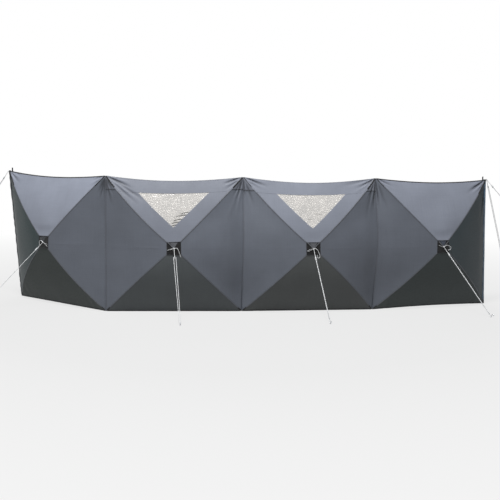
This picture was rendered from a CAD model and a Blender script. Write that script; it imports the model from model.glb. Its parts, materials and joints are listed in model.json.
"""Looks of a beach windbreak of four hub-tensioned bays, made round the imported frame.

Metres, +Z up. The hubs push out to the front, which is the -Y side. Each bay has four
cloth panels that meet at seams, and the seams follow the bay's bowed poles.
"""

import json
import math

import bpy
import numpy as np
from mathutils import Matrix, Vector


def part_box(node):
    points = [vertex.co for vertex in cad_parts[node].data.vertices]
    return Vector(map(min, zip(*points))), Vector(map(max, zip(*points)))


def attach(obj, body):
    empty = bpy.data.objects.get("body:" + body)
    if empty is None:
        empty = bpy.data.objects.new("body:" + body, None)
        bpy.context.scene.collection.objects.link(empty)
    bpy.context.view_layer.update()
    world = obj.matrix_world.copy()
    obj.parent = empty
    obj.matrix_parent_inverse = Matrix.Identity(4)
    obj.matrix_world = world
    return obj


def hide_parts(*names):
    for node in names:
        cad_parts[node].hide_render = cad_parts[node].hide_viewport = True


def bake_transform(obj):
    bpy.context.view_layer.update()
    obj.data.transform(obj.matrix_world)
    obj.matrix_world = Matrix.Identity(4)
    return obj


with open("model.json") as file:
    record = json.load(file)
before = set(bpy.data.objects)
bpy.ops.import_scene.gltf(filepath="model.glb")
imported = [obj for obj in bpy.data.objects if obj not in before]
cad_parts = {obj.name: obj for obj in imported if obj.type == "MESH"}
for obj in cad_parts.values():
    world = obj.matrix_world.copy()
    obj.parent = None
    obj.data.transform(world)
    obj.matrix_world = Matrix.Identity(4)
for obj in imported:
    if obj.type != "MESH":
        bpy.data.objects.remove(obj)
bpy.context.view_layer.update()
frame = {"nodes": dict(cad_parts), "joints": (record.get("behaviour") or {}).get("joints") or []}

# ---- Driving sizes, in metres and degrees ----

TOP, RIGHT, BOTTOM, LEFT = range(4)
TL, TR, BR, BL = range(4)
SIDES = ["top", "right", "bottom", "left"]
BAYS = range(4)
WINDOW_BAYS = (1, 2)
# The free side of each end bay
END_BAYS = {0: LEFT, 3: RIGHT}
UP = np.array([0.0, 0.0, 1.0])

HUB_OUT, HUB_Z = 0.238, 0.684
# How far each free top corner is pulled forward, outward along the bay, and up
LEFT_PULL, LEFT_LEAN, LEFT_RISE = 0.106, 0.043, 0.016
RIGHT_PULL, RIGHT_LEAN, RIGHT_RISE = -0.026, -0.028, -0.015
# How far the poles bow forward and, for each corner of each bay, towards its side panels
BOW_UPPER, BOW_LOWER = 0.034, 0.058
SIDE_BOW = np.array([[16, 4, 6, 16], [30, 2, 4, 14], [26, 18, 18, 2], [8, 12, 10, 4]]) / 1000
# How far each panel's outer edge sags towards the hub at its middle
EDGE_SAG = np.array([[40, 0, 0, 15], [48, 0, 0, 0], [54, 0, 0, 0], [38, 6, 14, 0]]) / 1000
# Shares from hub to edge at which a window begins and ends, and its distance from the seams there
WINDOW_FOOT, WINDOW_HEAD = 0.30, 0.82
WINDOW_SIDE_FOOT, WINDOW_SIDE_HEAD = 0.224, 0.203
# The cloth's thickness, and how far the cloth and the poles lie from the bay's own surface
CLOTH_T = 0.0009
CLOTH_SET = 0.0004
POLE_SET = 0.0105
POLE_SHORT_TOP, POLE_SHORT_FOOT, POCKET_L = 0.016, 0.026, 0.115
HUB_SET, HUB_H = 0.012, 0.022
PATCH_HALF = 0.067
LINE_R = 0.0025
GUY_LIFT = 0.0065
GUY_OUT, GUY_SIDE = 0.5, [-0.4, 0.07, 0.075, 0.28]
END_GUY_OUT, END_GUY_TURNS = 1.2, (-21, 41)
RUNNER_AT, PEG_R, GUY_FOOT_Z = 0.1, 0.003, 0.012
STRAND_GAP = [0.005, 0.012, 0.005, 0.005]
SPIGOT_H, SPIGOT_IN, SPIGOT_BACK, SPIGOT_PAST = 0.062, 0.024, 0.0245, 0.034
# A panel's distance from its seam, as a share of its width there, because the seam runs aslant
SLANT = 0.72

# Loose end of each bay's guy, as [right, front, up] from the guy's anchor, in millimetres
TAIL = [
    [
        [-6, 2, 2], [-12, 4, 8], [-19, 5, 13], [-27, 6, 16], [-36, 7, 16], [-44, 7, 12], [-50, 7, 5],
        [-53, 7, -4], [-54, 7, -13], [-54, 7, -22], [-55, 7, -31], [-57, 7, -40], [-60, 7, -48],
        [-64, 7, -56], [-68, 7, -64],
    ],
    [
        [6, 2, 1], [12, 4, 4], [20, 5, 6], [28, 6, 4], [35, 6, -1], [40, 6, -8], [44, 6, -16],
        [47, 6, -24], [50, 6, -32], [53, 6, -41], [55, 6, -50], [58, 6, -59], [61, 6, -68],
        [65, 6, -77], [70, 6, -86],
    ],
    [
        [6, 2, 1], [14, 4, 3], [23, 5, 1], [31, 6, -4], [38, 6, -11], [44, 6, -19], [49, 6, -28],
        [53, 6, -37], [57, 6, -46], [61, 6, -56], [64, 6, -66], [66, 7, -76], [65, 8, -86],
        [60, 9, -94], [51, 9, -97], [43, 9, -93], [39, 9, -84], [38, 9, -74], [38, 9, -64],
    ],
    [
        [6, 2, 1], [13, 4, 7], [22, 6, 12], [32, 7, 15], [43, 8, 15], [54, 8, 13], [65, 8, 8],
        [75, 8, 1], [83, 8, -7], [86, 8, -18], [81, 8, -28], [71, 8, -33], [60, 8, -35], [49, 8, -38],
    ],
]

# ---- The bays, from the frame's fold axes ----

fold_axes = [np.array(joint["pos_m"], float) for joint in frame["joints"]]
fold_turns = [-sum(joint["range_deg"]) / 2 for joint in frame["joints"]]
fold_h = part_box("fold_tape_2")[1].z
bay_w = float(np.linalg.norm(fold_axes[0]))


def unit(v):
    return v / np.linalg.norm(v)


def across(v, line):
    return v - np.dot(v, line) * line


def along(angle):
    return np.array([math.cos(math.radians(angle)), math.sin(math.radians(angle)), 0.0])


turn_left, turn_middle, turn_right = fold_turns
HEADING = [
    -turn_middle / 2 - turn_left,
    -turn_middle / 2,
    turn_middle / 2,
    turn_middle / 2 + turn_right,
]
RUN = [along(a) for a in HEADING]
FRONT = [along(a - 90) for a in HEADING]
FOOT = [
    fold_axes[0] - bay_w * RUN[0],
    fold_axes[0],
    fold_axes[1],
    fold_axes[2],
    fold_axes[2] + bay_w * RUN[3],
]
BODY = ["bay_1", "bay_2", "bay_3", "bay_4"]


def is_left(c):
    return c in (TL, BL)


def is_top(c):
    return c in (TL, TR)


def is_free(i, c):
    return (i == 0 and is_left(c)) or (i == 3 and not is_left(c))


def meets_fold(i, g):
    return (g == LEFT and i > 0) or (g == RIGHT and i < 3)


def side_sign(c):
    return -1 if is_left(c) else 1


def corner(i, c):
    """Corner c of bay i; at a fold it lies on the fold's axis."""
    point = FOOT[i if is_left(c) else i + 1] + (fold_h if is_top(c) else 0) * UP
    if is_free(i, c) and is_top(c):
        if is_left(c):
            point = point + LEFT_PULL * FRONT[i] - LEFT_LEAN * RUN[i] + LEFT_RISE * UP
        else:
            point = point + RIGHT_PULL * FRONT[i] + RIGHT_LEAN * RUN[i] + RIGHT_RISE * UP
    return point


def hub_point(i):
    return (FOOT[i] + FOOT[i + 1]) / 2 + HUB_Z * UP + HUB_OUT * FRONT[i]


CORNER = [[corner(i, c) for c in range(4)] for i in BAYS]
HUB = [hub_point(i) for i in BAYS]


def seam_chord(i, c):
    """Straight distance from bay i's hub to its corner c."""
    return np.linalg.norm(CORNER[i][c] - HUB[i])


def bow(i, c):
    line = unit(CORNER[i][c] - HUB[i])
    forward = across((BOW_UPPER if is_top(c) else BOW_LOWER) * FRONT[i], line)
    outward = unit(across(side_sign(c) * RUN[i] - (1 if is_top(c) else -1) * UP, line))
    return forward + SIDE_BOW[i][c] * outward


BOWS = [[bow(i, c) for c in range(4)] for i in BAYS]


def seam(i, c, r):
    r = np.asarray(r, float)[..., None]
    return HUB[i] + r * (CORNER[i][c] - HUB[i]) + 4 * r * (1 - r) * BOWS[i][c]


def panel_point(i, g, r, s):
    a, b = seam(i, g, r), seam(i, (g + 1) % 4, r)
    return a + np.asarray(s, float)[..., None] * (b - a)


def panel_width(i, g, r):
    return np.linalg.norm(seam(i, (g + 1) % 4, r) - seam(i, g, r), axis=-1)


def edge_reach(i, g):
    return np.linalg.norm((CORNER[i][g] + CORNER[i][(g + 1) % 4]) / 2 - HUB[i])


def sagged(i, g, r, s):
    return r * (1 - 4 * s * (1 - s) * EDGE_SAG[i][g] / edge_reach(i, g) * r * r)


def plane_xz(i, points):
    """Where points lie in bay i's own plane: along the bay from its hub, and up from the ground."""
    return (points - HUB[i]) @ RUN[i], points[..., 2]


# ---- Relief of the cloth ----
# Creases that run from a panel's upper corners, as (degrees below the edge or in from the
# fold, start, length, height, half width), all but the first in millimetres

TOP_CREASES = {
    (0, TL): [
        (47, 30, 190, -9.0, 6), (38, 40, 240, 5.0, 8), (29, 40, 300, -4.5, 7), (20, 40, 330, 3.4, 10),
        (12, 30, 260, -3.0, 7),
    ],
    (0, TR): [(18, 30, 170, -4.5, 6), (28, 40, 260, 3.6, 9), (37, 40, 210, -4.0, 7)],
    (1, TL): [
        (24, 30, 330, -7.0, 6), (16, 30, 300, 4.0, 9), (31, 230, 560, -5.0, 7), (40, 160, 480, -4.6, 7),
        (35, 120, 420, 3.2, 10),
    ],
    (1, TR): [(19, 30, 240, -8.0, 6), (26, 30, 260, 5.0, 8), (11, 30, 260, 2.6, 8), (34, 60, 260, -3.4, 7)],
    (2, TL): [(21, 30, 300, -7.5, 6), (29, 40, 300, 4.6, 8), (13, 30, 330, 3.2, 9), (37, 60, 240, -3.0, 7)],
    (2, TR): [
        (27, 30, 250, -7.5, 6), (19, 30, 330, 4.4, 8), (12, 60, 420, -3.6, 8), (36, 30, 170, -5.0, 6),
        (32, 80, 340, 3.6, 9),
    ],
    (3, TL): [(24, 30, 230, -6.5, 6), (32, 40, 260, 4.0, 9), (15, 40, 330, 3.0, 10)],
    (3, TR): [(26, 30, 330, -10.0, 7), (34, 30, 330, 5.6, 9), (17, 30, 300, 4.4, 9), (42, 60, 210, -5.0, 7)],
}
SIDE_CREASES = {
    (0, TR): [(4, 30, 250, -9.5, 5), (12, 40, 280, -9.0, 5), (21, 60, 220, -7.0, 6), (8, 60, 300, 4.0, 8)],
    (1, TL): [
        (3, 30, 230, -8.5, 5), (12, 50, 330, -7.0, 6), (22, 50, 230, -5.5, 6), (29, 70, 190, -4.5, 6),
        (17, 60, 360, 4.0, 9),
    ],
    (1, TR): [
        (16, 40, 270, -9.0, 6), (10, 50, 460, 5.0, 9), (27, 100, 240, -6.0, 6), (21, 130, 520, 4.0, 12),
    ],
    (2, TL): [(4, 30, 230, -9.5, 6), (11, 50, 430, 5.0, 9), (20, 80, 330, -5.5, 7), (31, 60, 200, 3.0, 8)],
    (2, TR): [
        (6, 30, 360, -9.0, 6), (13, 50, 420, 5.0, 9), (22, 90, 230, -6.0, 6), (17, 120, 480, -3.0, 9),
        (29, 60, 330, 3.6, 9),
    ],
    (3, TL): [(5, 30, 330, -7.5, 6), (11, 40, 430, 4.6, 9), (19, 60, 380, -4.0, 8), (28, 40, 260, 3.0, 9)],
    (0, TL): [(9, 20, 330, 4.0, 8), (16, 40, 300, -5.0, 7), (26, 40, 240, 3.0, 9)],
    (3, TR): [(10, 20, 460, 5.0, 8), (15, 40, 520, -6.0, 7), (24, 40, 300, 3.4, 9)],
}
# Creases that go in, which have a negative height, are deeper and wider than the tables say
VALLEY_DEPTH, VALLEY_WIDTH = 1.45, 1.2
# Depth of the dip along a fold's seam, in millimetres, at heights in metres
FOLD_VALLEY = [(0.0, 7.5), (0.12, 6.0), (0.30, 2.2), (0.62, 0.9), (1.05, 1.4), (1.22, 4.0), (1.40, 6.0)]
# Height in millimetres of the crease across each bay's left and right panels, from packing
PACK_CREASE = [[0.5, 1.8], [1.8, 0.7], [0.5, 1.2], [1.0, 0.4]]
# How full each bay's left and right panels belly between the poles, as a share of their width,
# and how far each bay's top bellies at its middle, in metres
BELLY = [[0.008, -0.004], [-0.004, 0.012], [0.012, 0.012], [0.012, 0.016]]
TOP_BELLY = [0.016, 0.003, 0.006, 0.016]
# The last part of a top or bottom panel's tip, and how far short of the fold it ends
TIP_TAPER, TIP_GAP = 0.040, 0.0065
# How far the pull of the hubs bows each fold's cloth forward at half its height
FOLD_BOW = [0.0, 0.0, 0.106, 0.104, 0.0]


def smooth(x):
    x = np.clip(x, 0, 1)
    return x * x * (3 - 2 * x)


def crease(x, z, origin, direction, start, length, height, half_width):
    """A fold of cloth that starts near origin and fades out along direction."""
    dx, dz = x - origin[0], z - origin[1]
    a = dx * direction[0] + dz * direction[1]
    bend = 0.12 * half_width * np.sin(a * 21 + half_width * 900)
    b = -dx * direction[1] + dz * direction[0] + bend
    width = half_width + 0.022 * np.clip(a, 0, None)
    begun = smooth((a - start * 0.3) / (start + 0.03))
    over = smooth((a - 0.35 * length) / (0.65 * length))
    return height * begun * (1 - over) * np.exp(-((b / width) ** 2))


def undulation(i, x, z):
    """Slack of the stretched cloth, a couple of millimetres over a hand's width."""
    p = 1.7 * i
    return (
        0.9 * np.sin(9.1 * x + 2.3 * z + p)
        + 0.7 * np.sin(5.2 * x - 11.3 * z + 2.1 * p)
        + 0.5 * np.sin(17.9 * x + 7.7 * z + 0.7 * p)
        + 0.4 * np.sin(-13.1 * x + 19.3 * z + 1.3 * p)
    )


def corner_creases(i, g, x, z):
    total = np.zeros_like(x)
    table = TOP_CREASES if g == TOP else SIDE_CREASES
    for (bay, c), creases in table.items():
        if bay != i or (g == LEFT and not is_left(c)) or (g == RIGHT and is_left(c)):
            continue
        cx, cz = plane_xz(i, CORNER[i][c])
        for angle, start, length, height, half_width in creases:
            if height < 0:
                height, half_width = VALLEY_DEPTH * height, VALLEY_WIDTH * half_width
            turn = math.radians(angle)
            if g == TOP:
                direction = (-side_sign(c) * math.cos(turn), -math.sin(turn))
            else:
                direction = (-side_sign(c) * math.sin(turn), -math.cos(turn))
            total += crease(
                x, z, (cx, cz), direction, start / 1000, length / 1000, height, half_width / 1000
            )
    return total


def relief(i, g, r, s, points):
    """How far the cloth of panel g stands proud of its smooth surface, in metres."""
    x, z = plane_xz(i, points)
    width = panel_width(i, g, r)
    side = g in (LEFT, RIGHT)
    hand = 0 if g == LEFT else 1
    from_seam = np.minimum(s, 1 - s) * width * SLANT
    held = smooth(from_seam / 0.035)
    total = undulation(i, x, z) * smooth(from_seam / 0.16)
    seam_run = r * seam_chord(i, g)
    pucker = np.sin(seam_run * 118 + 1.3 * np.sin(seam_run * 31 + i) + g)
    total += 0.55 * pucker * np.exp(-from_seam / 0.022) * smooth(from_seam / 0.006)
    if g == TOP:
        total += 16000 * TOP_BELLY[i] * s * (1 - s) * r * (1 - r)
    if side:
        belly = BELLY[i][hand] * smooth((1 - r) / 0.25)
        total += 4000 * belly * width * s * (1 - s)
    if g != BOTTOM:
        total += corner_creases(i, g, x, z) * smooth(from_seam / 0.02)
    if side:
        total += PACK_CREASE[i][hand] * np.exp(-np.abs(z - HUB_Z + 0.004 * np.sin(9 * x)) / 0.009) * held
    if meets_fold(i, g):
        from_fold = (1 - r) * edge_reach(i, g)
        valley = np.interp(z, *zip(*FOLD_VALLEY)) * (from_fold / 0.013) * np.exp(1 - from_fold / 0.013)
        total = total * smooth(from_fold / 0.02) + valley * smooth(from_seam / 0.012)
    if g == BOTTOM:
        foot = np.abs(x) - bay_w / 2
        total += 2.2 * np.exp(-((foot + 0.16) ** 2) / 0.004) * np.sin(x * 60) * held
        total += 0.8 * np.sin(x * 41 + i) * smooth((r - 0.86) / 0.14) * held
    if g == TOP:
        total += 0.9 * np.sin(x * 33 + 2 * i) * smooth((r - 0.86) / 0.14) * held
    from_hub = r * edge_reach(i, g)
    return total * smooth((from_hub - 0.10) / 0.10) / 1000


def fold_front(k):
    """The way forward at fold k, halfway between those of its two bays."""
    return unit(FRONT[k - 1] + FRONT[k])


def bow_shape(s):
    """The bow's share at each height of a fold, fullest near the middle and flat at both ends."""
    return 0.25 * np.sin(math.pi * s) + 0.375 * (1 - np.cos(2 * math.pi * s))


def fold_bow(i, g, r, s):
    """How a side panel follows its fold line as that bows forward."""
    k = i if g == LEFT else i + 1
    if g in (TOP, BOTTOM) or FOLD_BOW[k] == 0:
        return np.zeros(3)
    at_fold = (r * r)[..., None]
    way = FRONT[i] * (1 - at_fold) + fold_front(k) * at_fold
    return (FOLD_BOW[k] * bow_shape(s) * r**2.2)[..., None] * way


def tip_drawn_in(i, points):
    """How far along RUN a top or bottom panel's tip stays back from each fold it would touch."""
    x, _ = plane_xz(i, points)
    half = bay_w / 2
    right = np.clip(x - (half - TIP_TAPER), 0, None) if i < 3 else 0 * x
    left = np.clip(-x - (half - TIP_TAPER), 0, None) if i > 0 else 0 * x
    return (right - left) * TIP_GAP / TIP_TAPER


def cloth_point(i, g, r, s, lift=0.0):
    """A point of the cloth's front face with its folds, lift metres proud of it."""
    r, s = np.broadcast_arrays(np.asarray(r, float), np.asarray(s, float))
    at = sagged(i, g, r, s)
    points = panel_point(i, g, at, s) + fold_bow(i, g, r, s)
    away = relief(i, g, r, s, points) + CLOTH_SET + CLOTH_T + lift
    points = points + away[..., None] * FRONT[i]
    if g in (TOP, BOTTOM):
        points = points - tip_drawn_in(i, points)[..., None] * RUN[i]
    points[..., 2] = np.maximum(points[..., 2], 0.0)
    return points


# ---- Meshes ----


def unit_rows(v):
    return v / np.linalg.norm(v, axis=-1, keepdims=True)


class Build:
    """Collects meshes that end up in one object."""

    def __init__(self):
        self.points, self.faces, self.weave, self.index = [], [], [], []
        self.count = 0

    def add(self, points, faces, weave=None, index=0):
        """Adds a mesh. weave has its place in the weave, distance to the edge and depth of crease."""
        points = np.asarray(points, float).reshape(-1, 3)
        self.points.append(points)
        kept = np.zeros((len(points), 4))
        if weave is not None:
            weave = np.asarray(weave, float)
            kept[:, : weave.shape[-1]] = weave.reshape(-1, weave.shape[-1])
        self.weave.append(kept)
        self.faces += [[int(v) + self.count for v in f] for f in faces]
        self.index += [index] * len(faces)
        self.count += len(points)
        return self

    def done(self, name, materials, sharp=38):
        """The smooth-shaded object, sharp where its faces turn by more than sharp degrees."""
        mesh = bpy.data.meshes.new(name)
        mesh.from_pydata(np.concatenate(self.points).tolist(), [], self.faces)
        for material in materials:
            mesh.materials.append(material)
        mesh.polygons.foreach_set("material_index", np.asarray(self.index, np.int32))
        weave = np.concatenate(self.weave).astype(np.float32)
        place = mesh.attributes.new("weave_at", "FLOAT_VECTOR", "POINT")
        place.data.foreach_set("vector", weave[:, :3].ravel())
        pinch = mesh.attributes.new("pinch", "FLOAT", "POINT")
        pinch.data.foreach_set("value", weave[:, 3].copy())
        mesh.update()
        mesh.polygons.foreach_set("use_smooth", np.ones(len(mesh.polygons), bool))
        mesh.set_sharp_from_angle(angle=math.radians(sharp))
        return linked(name, mesh)

    def put(self, i, name, materials, slot, *replaced, sharp=38):
        """The object, riding on bay i. It takes its finish from a slot and stands for CAD nodes."""
        piece = self.done(name, materials, sharp)
        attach(piece, BODY[i])
        if replaced:
            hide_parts(*replaced)
        return piece


def linked(name, data):
    made = bpy.data.objects.new(name, data)
    bpy.context.scene.collection.objects.link(made)
    return made


def grid_faces(m, n, offset=0):
    index = offset + np.arange(m * n).reshape(m, n)
    a, b, c, d = index[:-1, :-1], index[1:, :-1], index[1:, 1:], index[:-1, 1:]
    return np.stack([a, b, c, d], -1).reshape(-1, 4)


def thickened(points, faces, thickness, away):
    """A closed shell from an open surface whose outside is on the side that away points to."""
    p = points[faces]
    normal = np.cross(p[:, 2] - p[:, 0], p[:, 3] - p[:, 1])
    if (normal @ away).sum() < 0:
        faces = faces[:, ::-1]
        normal = -normal
    at_point = np.zeros_like(points)
    for k in range(4):
        np.add.at(at_point, faces[:, k], normal)
    length = np.linalg.norm(at_point, axis=1, keepdims=True)
    at_point = np.where(length > 1e-15, at_point / np.maximum(length, 1e-15), away)
    back = points - thickness * at_point
    n = len(points)
    edges = np.concatenate([faces[:, [k, (k + 1) % 4]] for k in range(4)])
    _, first, uses = np.unique(np.sort(edges, axis=1), axis=0, return_index=True, return_counts=True)
    rim = edges[first[uses == 1]]
    sides = np.stack([rim[:, 1], rim[:, 0], rim[:, 0] + n, rim[:, 1] + n], 1)
    return np.concatenate([points, back]), np.concatenate([faces, faces[:, ::-1] + n, sides])


def shell_of(i, grid, thickness, weave):
    """A grid of points as a closed shell on bay i, with its weave on both faces."""
    shell, faces = thickened(grid.reshape(-1, 3), grid_faces(*grid.shape[:2]), thickness, FRONT[i])
    return shell, faces, np.concatenate([weave.reshape(-1, weave.shape[-1])] * 2)


def skin(ring):
    """A closed skin over rows of points, with its faces turned to look outwards."""
    rows, n = ring.shape[:2]
    index = np.arange(rows * n).reshape(rows, n)
    nxt = np.roll(index, -1, axis=1)
    f = np.stack([index[:-1], nxt[:-1], nxt[1:], index[1:]], -1).reshape(-1, 4)
    p = ring.reshape(-1, 3)
    normal = np.cross(p[f[:, 2]] - p[f[:, 0]], p[f[:, 3]] - p[f[:, 1]])
    outward = (normal * (p[f].mean(1) - ring.mean(1)[f[:, 0] // n])).sum()
    faces = f.tolist() + [index[0][::-1].tolist(), index[-1].tolist()]
    return p, [face[::-1] for face in faces] if outward < 0 else faces


def run_along(path):
    """Distance along a path to each of its points."""
    return np.concatenate([[0], np.cumsum(np.linalg.norm(np.diff(path, axis=0), axis=1))])


def stacked(shape, *values):
    """Values of any shape that broadcasts to shape, as the columns of a weave."""
    return np.stack([np.broadcast_to(v, shape) for v in values], -1)


def welded(points, faces, attribute):
    """Joins points that lie together, so that surfaces which meet become one."""
    key = np.round(points / 0.00005).astype(np.int64)
    _, first, inverse = np.unique(key, axis=0, return_index=True, return_inverse=True)
    return points[first], inverse.reshape(-1)[faces], attribute[first]


def frames_along(path, guide):
    """Two directions square to a path at each of its points, turning with it as little as possible."""
    tangent = unit_rows(np.gradient(path, axis=0))
    side = [unit(across(guide, tangent[0]))]
    for t in tangent[1:]:
        side.append(unit(across(side[-1], t)))
    side = np.array(side)
    return side, np.cross(tangent, side)


def tube(path, radius, sides=12, guide=UP, flat=1.0):
    """A tube along a path. radius is one number or one for each point, and flat squeezes it."""
    path = np.asarray(path, float)
    if np.linalg.norm(np.cross(guide, path[1] - path[0])) < 1e-9:
        guide = np.array([1.0, 0.0, 0.0])
    u, v = frames_along(path, guide)
    radius = np.broadcast_to(np.asarray(radius, float), (len(path),))
    turn = 2 * math.pi * np.arange(sides) / sides
    ring = np.cos(turn)[None, :, None] * u[:, None] + flat * np.sin(turn)[None, :, None] * v[:, None]
    points = path[:, None] + radius[:, None, None] * ring
    weave = stacked(points.shape[:2], turn / (2 * math.pi), run_along(path)[:, None], 0.0)
    return *skin(points), weave.reshape(-1, 3)


def lathe(profile, origin, axis, guide, sides=48):
    """A turned part: profile is (distance along the axis, radius) from its back to its front."""
    u = unit(across(guide, axis))
    turn = 2 * math.pi * np.arange(sides) / sides
    ring = np.cos(turn)[:, None] * u + np.sin(turn)[:, None] * np.cross(axis, u)
    return skin(np.array([origin + h * axis + radius * ring for h, radius in profile]))


def block(origin, x, y, z, size, bevel):
    """A box of size (x, y, z) round origin, with its edges cut back by bevel."""
    hx, hy, hz = np.asarray(size) / 2
    outline = [
        (hx, hy - bevel), (hx - bevel, hy), (-hx + bevel, hy), (-hx, hy - bevel),
        (-hx, -hy + bevel), (-hx + bevel, -hy), (hx - bevel, -hy), (hx, -hy + bevel),
    ]
    levels = [(-hz, 1 - bevel / hx), (-hz + bevel, 1.0), (hz - bevel, 1.0), (hz, 1 - bevel / hx)]
    return skin(np.array([[origin + k * (a * x + b * y) + h * z for a, b in outline] for h, k in levels]))


# How far a strap's edges are rounded, as a share of its thickness
STRAP_ROUND = 0.3


def strap(path, facing, width, thickness):
    """A flat strap along a path, with facing one direction or one for each point of it."""
    path = np.asarray(path, float)
    facing = np.broadcast_to(facing, path.shape)
    tangent = unit_rows(np.gradient(path, axis=0))
    side = unit_rows(np.cross(tangent, facing))
    out = np.cross(side, tangent)
    inner = 1 - 2 * STRAP_ROUND * thickness / width
    section = np.array([(-1, 0), (-inner, 0.5), (inner, 0.5), (1, 0), (inner, -0.5), (-inner, -0.5)])
    points = np.stack([path + a * width / 2 * side + b * thickness * out for a, b in section], 1)
    weave = stacked(points.shape[:2], section[:, 0] * width / 2, run_along(path)[:, None], section[:, 1])
    return *skin(points), weave.reshape(-1, 3)


# ---- Materials ----

# Pitch of the cloth's threads
THREAD = 0.0011


class Shader:
    """Adds nodes to one material and links them by the names of their sockets."""

    def __init__(self, name):
        self.material = bpy.data.materials.new(name)
        self.material.use_nodes = True
        self.tree = self.material.node_tree
        self.principled = self.tree.nodes["Principled BSDF"]

    def feed(self, socket, value):
        if isinstance(value, bpy.types.NodeSocket):
            self.tree.links.new(value, socket)
        else:
            socket.default_value = value

    def node(self, kind, settings=None, *values, **inputs):
        """A node with settings, values for its first sockets, and inputs for those it names."""
        made = self.tree.nodes.new(kind)
        for key, value in (settings or {}).items():
            setattr(made, key, value)
        for socket, value in zip(made.inputs, values):
            self.feed(socket, value)
        for key, value in inputs.items():
            self.feed(made.inputs[key.replace("_", " ")], value)
        return made

    def set(self, **inputs):
        for key, value in inputs.items():
            self.feed(self.principled.inputs[key.replace("_", " ")], value)

    def math(self, operation, *values):
        return self.node("ShaderNodeMath", {"operation": operation}, *values).outputs[0]

    def wave(self, value, length):
        return self.math("SINE", self.math("MULTIPLY", value, 2 * math.pi / length))

    def mix(self, share, a, b):
        return self.node("ShaderNodeMix", {"data_type": "RGBA"}, Factor=share, A=a, B=b).outputs["Result"]

    def noise(self, vector, scale, detail=3.0, roughness=0.55):
        made = self.node("ShaderNodeTexNoise", Vector=vector, Scale=scale, Detail=detail, Roughness=roughness)
        return made.outputs["Fac"]

    def stretched(self, vector, scale):
        return self.node("ShaderNodeMapping", Vector=vector, Scale=scale).outputs["Vector"]

    def between(self, value, low, high, to_low=0.0, to_high=1.0):
        made = self.node(
            "ShaderNodeMapRange", Value=value, From_Min=low, From_Max=high, To_Min=to_low, To_Max=to_high
        )
        return made.outputs["Result"]

    def spread(self, noise, low=0.0, high=1.0):
        """The middle of a noise's range, spread from low to high."""
        return self.between(noise, 0.3, 0.7, low, high)

    def bump(self, height, strength, distance, below=None):
        made = self.node("ShaderNodeBump", Strength=strength, Distance=distance, Height=height)
        if below is not None:
            self.feed(made.inputs["Normal"], below)
        return made.outputs["Normal"]

    def attribute(self, name, output):
        return self.node("ShaderNodeAttribute", {"attribute_name": name}).outputs[output]

    def weave(self):
        """Place across and along the weave, and distance to the nearest edge."""
        return self.node("ShaderNodeSeparateXYZ", Vector=self.attribute("weave_at", "Vector")).outputs[:3]

    def place(self):
        return self.node("ShaderNodeTexCoord").outputs["Object"]


def linear(red, green, blue):
    """A colour given as it shows on screen, 0 to 255."""
    out = []
    for value in (red, green, blue):
        v = value / 255
        out.append(v / 12.92 if v <= 0.04045 else ((v + 0.055) / 1.055) ** 2.4)
    return (*out, 1.0)


def shaded(colour, factor):
    return (*(min(1.0, c * factor) for c in colour[:3]), 1.0)


def cloth_material(name, colour, gloss):
    """Coated polyester: a fine plain weave, soft streaks of the yarn, and stitches along its edges."""
    s = Shader(name)
    x, z, edge = s.weave()
    flat = s.node("ShaderNodeCombineXYZ", X=x, Y=z).outputs[0]
    warp = s.noise(s.stretched(flat, (130, 3.2, 1)), 1.0, 2.0)
    weft = s.noise(s.stretched(flat, (3.2, 130, 1)), 1.0, 2.0)
    shade = s.math("ADD", s.spread(warp, -0.03, 0.03), s.spread(weft, -0.025, 0.025))
    shade = s.math("ADD", shade, s.spread(s.noise(flat, 3.1, 3.0), -0.07, 0.07))
    shade = s.math("ADD", shade, s.spread(s.noise(flat, 420, 2.0, 0.7), -0.05, 0.05))
    tint = s.node("ShaderNodeHueSaturation", Color=colour, Value=s.math("ADD", shade, 1.0)).outputs["Color"]
    # Darker down in a crease, along an edge and on each stitch
    tint = s.mix(s.math("MULTIPLY", s.attribute("pinch", "Fac"), 0.78), tint, shaded(colour, 0.22))
    tint = s.mix(s.between(edge, 0.0, 0.012, 0.22, 0.0), tint, shaded(colour, 0.55))
    dash = s.math("LESS_THAN", s.math("FRACT", s.math("MULTIPLY", s.math("ADD", x, z), 240.0)), 0.62)
    rows = s.math("ADD", s.math("COMPARE", edge, 0.0072, 0.0007), s.math("COMPARE", edge, 0.0115, 0.0007))
    stitches = s.math("MULTIPLY", rows, dash)
    tint = s.mix(s.math("MULTIPLY", stitches, 0.75), tint, shaded(colour, 0.35))
    weave = s.bump(s.math("MULTIPLY", s.wave(x, THREAD), s.wave(z, THREAD)), 0.12, 0.0002)
    rumpled = s.bump(s.noise(flat, 26, 4.0, 0.6), 0.22, 0.0016, weave)
    sewn = s.bump(s.math("SUBTRACT", 0.0, stitches), 0.5, 0.0006, rumpled)
    rough = s.spread(s.noise(flat, 55, 3.0), gloss - 0.05, gloss + 0.06)
    s.set(Base_Color=tint, Roughness=rough, Normal=sewn, Sheen_Weight=0.12, Sheen_Roughness=0.4)
    return s.material


def webbing_material(name, colour, rib=0.0016):
    """Woven webbing: ribs across the strap and a fleck along its yarns."""
    s = Shader(name)
    a, b, _ = s.weave()
    yarns = s.wave(s.math("ADD", a, s.math("MULTIPLY", b, 0.5)), 0.0012)
    weave = s.math("ADD", s.math("MULTIPLY", s.wave(b, rib), 0.6), s.math("MULTIPLY", yarns, 0.4))
    tint = s.mix(s.noise(s.place(), 90, 3.0), shaded(colour, 0.7), shaded(colour, 1.45))
    tint = s.mix(s.between(weave, -1.0, 1.0, 0.0, 0.35), shaded(colour, 0.55), tint)
    s.set(Base_Color=tint, Roughness=0.78, Normal=s.bump(weave, 0.5, 0.0004), Sheen_Weight=0.2)
    return s.material


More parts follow.
